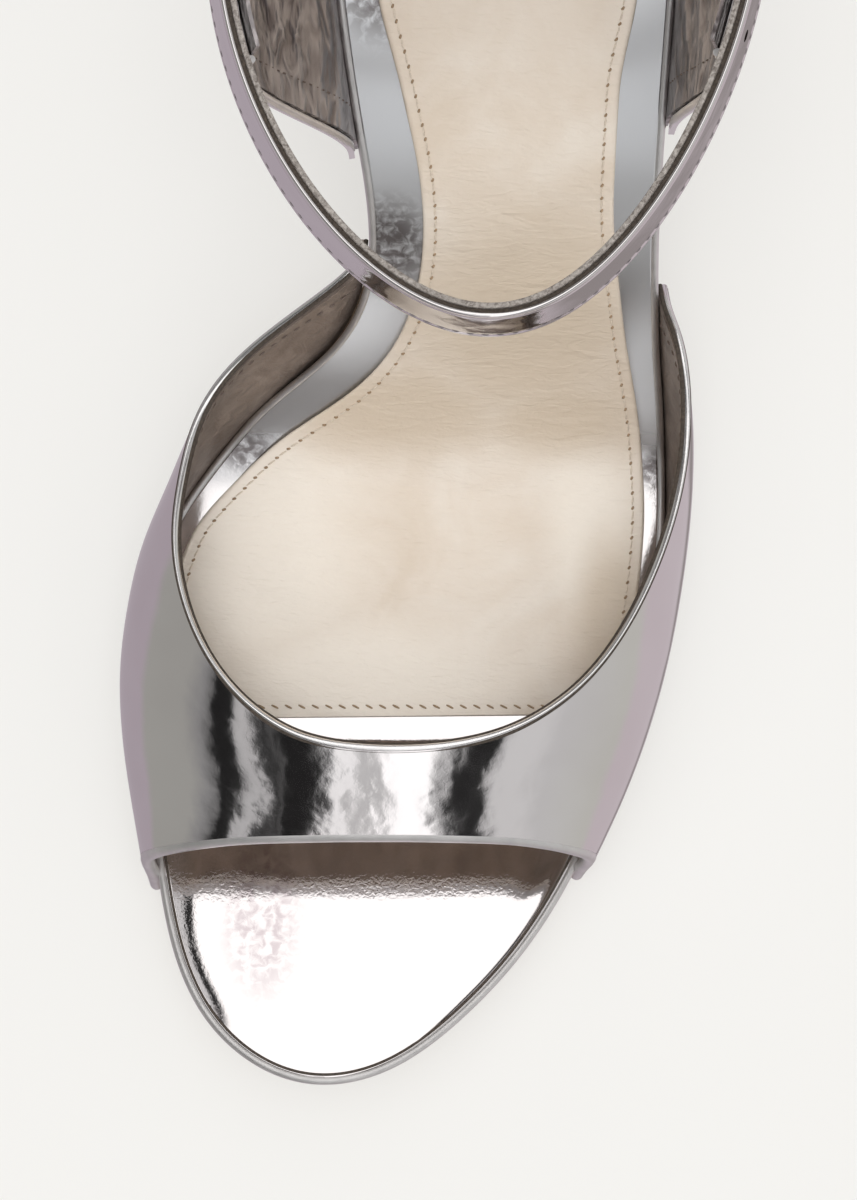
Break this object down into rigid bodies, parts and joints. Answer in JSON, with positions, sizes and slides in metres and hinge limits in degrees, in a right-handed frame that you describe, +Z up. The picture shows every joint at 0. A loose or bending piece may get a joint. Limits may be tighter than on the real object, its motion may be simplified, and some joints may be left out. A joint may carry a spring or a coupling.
{
  "type": "heeled sandal",
  "caption": "Open-toe heeled sandal in mirror leather with a wide vamp, a closed counter, a buckled ankle strap and a block heel.",
  "frame": {"origin": "centre of the bounding box in plan, on the floor that the sandal stands on", "axes": "+Y from toe to heel, +X to the outer (lateral) side of the left foot, +Z up"},
  "size_m": [0.0998, 0.2234, 0.1268],
  "materials": {
    "mirror_leather": "pale rose-silver mirror foil, finely creased",
    "sock_leather": "soft nude leather, satin",
    "sole_leather": "smooth, semi-matt",
    "top_piece_rubber": "matt",
    "buckle_metal": "polished"
  },
  "bodies": {
    "root": {"outsole": "sole_leather", "footbed": "mirror_leather", "sock": "sock_leather", "vamp": "mirror_leather", "counter": "mirror_leather", "ankle_strap": "mirror_leather", "buckle_tab": "mirror_leather", "buckle_frame": "buckle_metal", "buckle_prong": "buckle_metal", "strap_keeper": "mirror_leather", "heel_block": "mirror_leather", "top_piece": "top_piece_rubber"}
  },
  "joints": []
}
